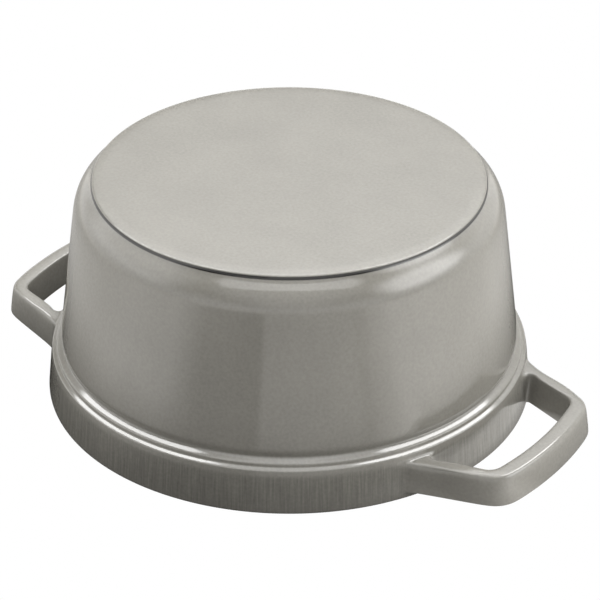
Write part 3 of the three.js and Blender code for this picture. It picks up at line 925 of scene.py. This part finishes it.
def spike_tree(rings, inputs):
    """Geometry nodes that join rings of basting spikes to a coat, square to the dome.

    The tree takes the coat, and a value for each of the named inputs.
    """
    tree = bpy.data.node_groups.new("basting_spikes", "GeometryNodeTree")
    face = tree.interface
    face.new_socket("Coat", in_out="INPUT", socket_type="NodeSocketGeometry")
    for name in inputs:
        kind = "Material" if name == "Material" else "Float"
        face.new_socket(name, in_out="INPUT", socket_type=f"NodeSocket{kind}")
    face.new_socket("Coat", in_out="OUTPUT", socket_type="NodeSocketGeometry")
    given = add_node(tree, "NodeGroupInput").outputs

    def upward(value):
        """A vector along Z."""
        return add_node(tree, "ShaderNodeCombineXYZ", {"Z": value}).outputs[0]

    # Places: one circle of points for each ring, put on the dome's underside
    places = add_node(tree, "GeometryNodeJoinGeometry")
    for ring in range(rings):
        out = math_node(tree, "MULTIPLY_ADD", given["Ring Step"], ring, given["First Ring"])
        circle = add_node(tree, "GeometryNodeMeshCircle", {"Vertices": 6 * (ring + 1), "Radius": out})
        tree.links.new(circle.outputs["Mesh"], places.inputs[0])
    place = add_node(tree, "GeometryNodeInputPosition").outputs[0]
    across = math_node(tree, "POWER", vector_node(tree, "LENGTH", place), 2)
    whole = math_node(tree, "POWER", given["Dome Radius"], 2)
    up = math_node(tree, "SQRT", math_node(tree, "SUBTRACT", whole, across))
    lift = upward(math_node(tree, "ADD", up, given["Dome Centre"]))
    on_dome = add_node(tree, "GeometryNodeSetPosition", {"Geometry": places.outputs[0], "Offset": lift})

    # One spike: a cone whose foot is sunk into the coat, with its tip rounded
    cone = add_node(tree, "GeometryNodeMeshCone", {
        "Vertices": 16,
        "Side Segments": 4,
        "Fill Segments": 2,
        "Radius Top": given["Tip"],
        "Radius Bottom": given["Base"],
        "Depth": math_node(tree, "ADD", given["Height"], given["Sink"]),
    })
    sunk = upward(times(tree, given["Sink"], -1))
    spike = add_node(tree, "GeometryNodeTransform", {"Geometry": cone.outputs["Mesh"], "Translation": sunk})
    soft = add_node(tree, "GeometryNodeSubdivisionSurface", {"Mesh": spike.outputs[0], "Level": 1})

    # Spikes point towards the dome's centre
    inward = vector_node(tree, "SUBTRACT", upward(given["Dome Centre"]), place)
    turn = add_node(tree, "FunctionNodeAlignRotationToVector", {"Vector": inward}, axis="Z").outputs[0]
    copies = add_node(tree, "GeometryNodeInstanceOnPoints", {
        "Points": on_dome.outputs[0], "Instance": soft.outputs[0], "Rotation": turn})
    real = add_node(tree, "GeometryNodeRealizeInstances", {"Geometry": copies.outputs[0]})
    joined = add_node(tree, "GeometryNodeJoinGeometry", {0: given["Coat"]})
    tree.links.new(real.outputs[0], joined.inputs[0])
    smooth = add_node(tree, "GeometryNodeSetShadeSmooth", {0: joined.outputs[0]})
    dressed = add_node(tree, "GeometryNodeSetMaterial", {
        0: smooth.outputs[0], "Material": given["Material"]})
    add_node(tree, "NodeGroupOutput", {0: dressed.outputs[0]})
    return tree


def towards(studio, azimuth, elevation):
    """The direction at a turn to the camera's right and a height above the horizon, in degrees."""
    turn = studio.azimuth - math.pi / 2 + math.radians(azimuth)
    rise = math.radians(elevation)
    return Vector((math.cos(turn) * math.cos(rise), math.sin(turn) * math.cos(rise), math.sin(rise)))


def glow(tree, direction, middle, full, gone):
    """A round light about a direction: one inside an angle and nothing beyond another, in degrees."""
    near = vector_node(tree, "DOT_PRODUCT", direction, middle)
    dim, bright = (math.cos(math.radians(limit)) for limit in (gone, full))
    return map_range(tree, near, dim, bright, kind="SMOOTHSTEP")


def strip(tree, direction, middle, upward, half_width, half_height):
    """A rectangular light with crisp edges about a direction, with half sizes in degrees."""
    least, softness = 0.02, 0.08
    ahead = math_node(tree, "MAXIMUM", vector_node(tree, "DOT_PRODUCT", direction, middle), least)
    level = 1.0
    for axis, half in ((middle.cross(upward), half_width), (upward, half_height)):
        edge = math.tan(math.radians(half))
        share = math_node(tree, "DIVIDE", vector_node(tree, "DOT_PRODUCT", direction, axis), ahead)
        level = times(tree, between(tree, share, -edge, edge, softness * edge), level)
    return level


def studio_world(studio):
    """The lights round the oven, each with its radiance.

    They are soft glows, a haze on the horizon, a square light overhead and two strips high at the sides.
    """
    world = bpy.data.worlds.new("studio")
    world.use_nodes = True
    tree = world.node_tree
    tree.nodes.clear()
    direction = add_node(tree, "ShaderNodeTexCoord").outputs["Generated"]
    glows = (
        # radiance, azimuth, elevation, full inside, gone at
        (studio.ceiling, 180, 66, 10, 26),
        (studio.front_box, 0, 44, 14, 38),
        (studio.back_wall, 170, 60, 16, 44),
        (studio.right_box, 76, 24, 9, 31),
        (studio.right_wing, 115, 28, 12, 40),
        (studio.left_box, -98, 24, 18, 42),
    )
    total = 0.0
    for radiance, azimuth, elevation, full, gone in glows:
        level = glow(tree, direction, towards(studio, azimuth, elevation), full, gone)
        total = math_node(tree, "MULTIPLY_ADD", level, radiance, total)

    # The glows fade out towards the horizon, where the haze takes their place
    height = parts_of(tree, direction)["Z"]
    risen = map_range(tree, height, 0.0, 0.35, kind="SMOOTHSTEP")
    haze = map_range(tree, height, 0.5, 0.0, 0.0, studio.horizon, kind="SMOOTHSTEP")
    total = math_node(tree, "MULTIPLY_ADD", risen, total, haze)

    box = strip(tree, direction, towards(studio, 0, 75), towards(studio, 180, 15), 26, 16)
    total = math_node(tree, "MULTIPLY_ADD", box, studio.overhead, total)
    # Each strip leans: its upper end lies nearer to the camera than its lower end
    strips = (
        # side, elevation, half height
        (-1, 55, 18.5),
        (1, 57, 16),
    )
    half_width = 7.5
    for side, elevation, half_height in strips:
        middle = towards(studio, 128 * side, elevation)
        upper_end = towards(studio, 121 * side, elevation + 13)
        upward = upper_end - towards(studio, 136 * side, elevation - 13)
        upward = (upward - middle * upward.dot(middle)).normalized()
        level = strip(tree, direction, middle, upward, half_width, half_height)
        total = math_node(tree, "MULTIPLY_ADD", level, studio.strips, total)
    shine = add_node(tree, "ShaderNodeBackground", {"Color": (1, 1, 1, 1), "Strength": total})
    add_node(tree, "ShaderNodeOutputWorld", {"Surface": shine.outputs[0]})
    return world


def floor_light(studio, finish):
    """A floor that glows with painted light: a painted shadow close to the pot, dark behind it,
    with cards left and right and one in front.

    Far away it fades into the haze on the horizon.
    """
    material, tree = new_material("lit_floor")
    place = place_on(tree)
    away = vector_node(tree, "LENGTH", place)
    axes = parts_of(tree, place)
    turn = math_node(tree, "ARCTAN2", axes["Y"], axes["X"])
    behind = studio.azimuth - math.pi / 2 - math.pi
    from_behind = math_node(tree, "SUBTRACT", turn, behind)
    share = math_node(tree, "DIVIDE", math_node(tree, "FLOORED_MODULO", from_behind, math.tau), math.tau)

    def share_at(azimuth):
        """The share of a whole turn from behind at an azimuth in degrees."""
        return (azimuth + 180) / 360

    cards = (
        # azimuth in degrees, level
        (-180, 0.15), (-125, 0.35), (-90, 0.6), (-72, 0.9), (-50, 0.9), (-36, 0.3),
        (-11.5, 0.18), (-10.5, 0.55), (27.5, 0.55), (28.5, 0.38),
        (45, 1.15), (60, 1.15), (80, 0.85), (105, 0.65), (135, 0.2), (180, 0.15),
    )
    ramp = add_node(tree, "ShaderNodeValToRGB", {"Fac": share})
    stops = ramp.color_ramp.elements
    while len(stops) < len(cards):
        stops.new(0.5)
    for stop, (azimuth, level) in zip(stops, cards):
        stop.position = share_at(azimuth)
        stop.color = (level, level, level, 1)

    # Light close to the pot, which its band mirrors: on the right, in the finger gap and in front
    patches = (
        # level, reach, azimuth on the left and on the right, softness of both
        (1.0, map_range(tree, away, mm(107), mm(165)), 25.2, 52.2, 5.4),
        (0.7, between(tree, away, mm(108), mm(128), mm(5)), 21.6, 93.6, 10.8),
        (0.12, between(tree, away, mm(109), mm(400), mm(2)), -10.69, 27.97, 0.36),
    )
    # Painted shadow: the floor's light is dark at the pot and rises to full away from it
    reach = map_range(tree, away, mm(112), mm(215), kind="SMOOTHSTEP")
    for level, close, left, right, soft in patches:
        sector = between(tree, share, share_at(left), share_at(right), soft / 360)
        reach = math_node(tree, "MAXIMUM", reach, times(tree, close, sector, level))
    lit = times(tree, reach, ramp.outputs["Color"], studio.floor_light)
    far = map_range(tree, away, mm(350), mm(1200), kind="SMOOTHSTEP")
    cover(tree, "ShaderNodeEmission", {
        "Color": linear(finish.floor), "Strength": mix(tree, far, lit, studio.horizon)})
    return material


def white_paper(finish):
    """The plain white paper behind everything, which only the camera sees."""
    material, tree = new_material("white_paper")
    cover(tree, "ShaderNodeEmission", {"Color": linear(finish.paper)})
    return material


def sheet(name, height, material):
    """A large level square."""
    mesh = bmesh.new()
    half_side = 4
    bmesh.ops.create_grid(mesh, x_segments=1, y_segments=1, size=half_side)
    bmesh.ops.translate(mesh, vec=(0, 0, height), verts=mesh.verts[:])
    return shape(name, mesh, material)


def aim(camera, studio):
    """Set the lens and the place of the camera, which looks past the oven's axis by a little."""
    axis = Vector((0, 0, studio.aim_height))
    camera.data.lens = studio.lens
    camera.location = axis + towards(studio, 0, math.degrees(studio.elevation)) * studio.distance
    sight = axis + towards(studio, 90, 0) * studio.aim_aside - camera.location
    turn = sight.to_track_quat("-Z", "Y") @ Quaternion((0, 0, 1), studio.roll)
    camera.rotation_euler = turn.to_euler()


class DUTCHOVEN_OT_pot(bpy.types.Operator):
    """Make the pot casting with its loop handles"""

    bl_idname = "dutchoven.pot"
    bl_label = "Pot"

    def execute(self, context):
        scene = context.scene
        cage = pot_cage(scene.oven_pot, scene.oven_handle)
        thing = shape("pot_iron", cage, grey_enamel(scene.oven_finish, scene.oven_pot))
        subdivide(thing, 2)
        made_plain(thing)
        settle(thing, "pot", "pot_casting")
        return {"FINISHED"}


class DUTCHOVEN_OT_linings(bpy.types.Operator):
    """Make the enamel coats inside the pot and under the lid, with the basting spikes"""

    bl_idname = "dutchoven.linings"
    bl_label = "Linings"

    def execute(self, context):
        scene = context.scene
        pot, lid, spikes = scene.oven_pot, scene.oven_lid, scene.oven_spikes
        material = black_enamel(scene.oven_finish)
        thing = shape("pot_enamel", turned(lining_rows(pot)), material)
        settle(thing, "pot", "pot_lining")

        thing = shape("lid_enamel", turned(lid_lining_rows(lid, pot)), material)
        sphere, centre = dome_sphere(lid)
        inputs = {
            "First Ring": spikes.first_ring,
            "Ring Step": spikes.ring_step,
            "Base": spikes.base,
            "Tip": spikes.tip,
            "Height": spikes.height,
            "Dome Centre": centre,
            "Dome Radius": sphere - lid.thickness - pot.coat_gap - pot.coat_thickness,
            "Sink": pot.coat_thickness / 2,
            "Material": material,
        }
        tree = spike_tree(spikes.rings, inputs)
        nodes = thing.modifiers.new("Spikes", "NODES")
        nodes.node_group = tree
        for item in tree.interface.items_tree:
            if item.name in inputs:
                nodes[item.identifier] = inputs[item.name]
        made_plain(thing)
        settle(thing, "lid", "lid_lining")
        return {"FINISHED"}


class DUTCHOVEN_OT_lid(bpy.types.Operator):
    """Make the lid casting"""

    bl_idname = "dutchoven.lid"
    bl_label = "Lid"

    def execute(self, context):
        scene = context.scene
        material = bpy.data.materials["glossy_grey_enamel"]
        thing = shape("lid_iron", turned(lid_rows(scene.oven_lid)), material)
        settle(thing, "lid", "lid_casting")
        return {"FINISHED"}


class DUTCHOVEN_OT_knob(bpy.types.Operator):
    """Make the knob"""

    bl_idname = "dutchoven.knob"
    bl_label = "Knob"

    def execute(self, context):
        scene = context.scene
        steel = polished_steel(scene.oven_finish)
        thing = shape("knob", turned(knob_rows(scene.oven_knob), columns=64), steel)
        settle(thing, "lid", "lid_knob")
        return {"FINISHED"}


class DUTCHOVEN_OT_fastening(bpy.types.Operator):
    """Make the screw and the washers that hold the knob"""

    bl_idname = "dutchoven.fastening"
    bl_label = "Fastening"

    def execute(self, context):
        scene = context.scene
        knob = scene.oven_knob
        zinc = zinc_steel(scene.oven_finish)
        screw = shape("screw", turned(screw_rows(knob), columns=48), zinc)
        cutter_mesh = bmesh.new()
        bmesh.ops.create_cube(cutter_mesh, size=1)
        cut = Vector((3 * SCREW_HIGH.x, knob.slot_width, 2 * knob.slot_depth))
        bmesh.ops.scale(cutter_mesh, vec=cut, verts=cutter_mesh.verts[:])
        bmesh.ops.translate(cutter_mesh, vec=(0, 0, SCREW_LOW.z), verts=cutter_mesh.verts[:])
        cutter = shape("slot_cutter", cutter_mesh, zinc)
        slot = screw.modifiers.new("Slot", "BOOLEAN")
        slot.operation = "DIFFERENCE"
        slot.object = cutter
        made_plain(screw)
        bpy.data.objects.remove(cutter)
        settle(screw, "lid", "knob_screw")

        section = square_section(
            knob.shank + knob.clearance, WASHER_HIGH.x, WASHER_LOW.z, WASHER_HIGH.z, mm(0.2))
        washer = shape("flat_washer", turned(section, columns=64), zinc)
        settle(washer, "lid", "screw_washer")
        spring = shape("split_washer", spring_ring(knob), zinc)
        settle(spring, "lid", "spring_washer")
        return {"FINISHED"}


class DUTCHOVEN_OT_stage(bpy.types.Operator):
    """Make the floor, the light and the camera"""

    bl_idname = "dutchoven.stage"
    bl_label = "Stage"

    def execute(self, context):
        scene = context.scene
        studio = scene.oven_studio
        scene.view_settings.view_transform = "Standard"
        scene.world = studio_world(studio)

        floor = sheet("floor", 0, floor_light(studio, scene.oven_finish))
        floor.visible_camera = False
        paper = sheet("backdrop", mm(-1), white_paper(scene.oven_finish))
        for kind in ("diffuse", "glossy", "transmission", "shadow"):
            setattr(paper, f"visible_{kind}", False)

        camera = link("camera", bpy.data.cameras.new("camera"))
        aim(camera, studio)
        scene.camera = camera
        return {"FINISHED"}


class DUTCHOVEN_PT_panel(bpy.types.Panel):
    """Sidebar panel with the pieces and their sizes"""

    bl_label = "Dutch Oven"
    bl_idname = "DUTCHOVEN_PT_panel"
    bl_space_type = "VIEW_3D"
    bl_region_type = "UI"
    bl_category = "Dutch Oven"

    def draw(self, context):
        layout = self.layout
        for operator in OPERATORS:
            layout.operator(operator.bl_idname)
        for name in SETTINGS:
            settings = getattr(context.scene, name)
            box = layout.box()
            for key in settings.__annotations__:
                box.prop(settings, key)


OPERATORS = (
    DUTCHOVEN_OT_pot, DUTCHOVEN_OT_linings, DUTCHOVEN_OT_lid, DUTCHOVEN_OT_knob, DUTCHOVEN_OT_fastening,
    DUTCHOVEN_OT_stage,
)
SETTINGS = {
    "oven_pot": PotSettings,
    "oven_handle": HandleSettings,
    "oven_lid": LidSettings,
    "oven_spikes": SpikeSettings,
    "oven_knob": KnobSettings,
    "oven_finish": FinishSettings,
    "oven_studio": StudioSettings,
}
CLASSES = (*SETTINGS.values(), *OPERATORS, DUTCHOVEN_PT_panel)


def register():
    for cls in CLASSES:
        bpy.utils.register_class(cls)
    for name, group in SETTINGS.items():
        setattr(bpy.types.Scene, name, PointerProperty(type=group))


def unregister():
    for name in SETTINGS:
        delattr(bpy.types.Scene, name)
    for cls in reversed(CLASSES):
        bpy.utils.unregister_class(cls)


def main():
    register()
    bpy.ops.dutchoven.pot()
    bpy.ops.dutchoven.linings()
    bpy.ops.dutchoven.lid()
    bpy.ops.dutchoven.knob()
    bpy.ops.dutchoven.fastening()
    bpy.ops.dutchoven.stage()


if __name__ == "__main__":
    main()
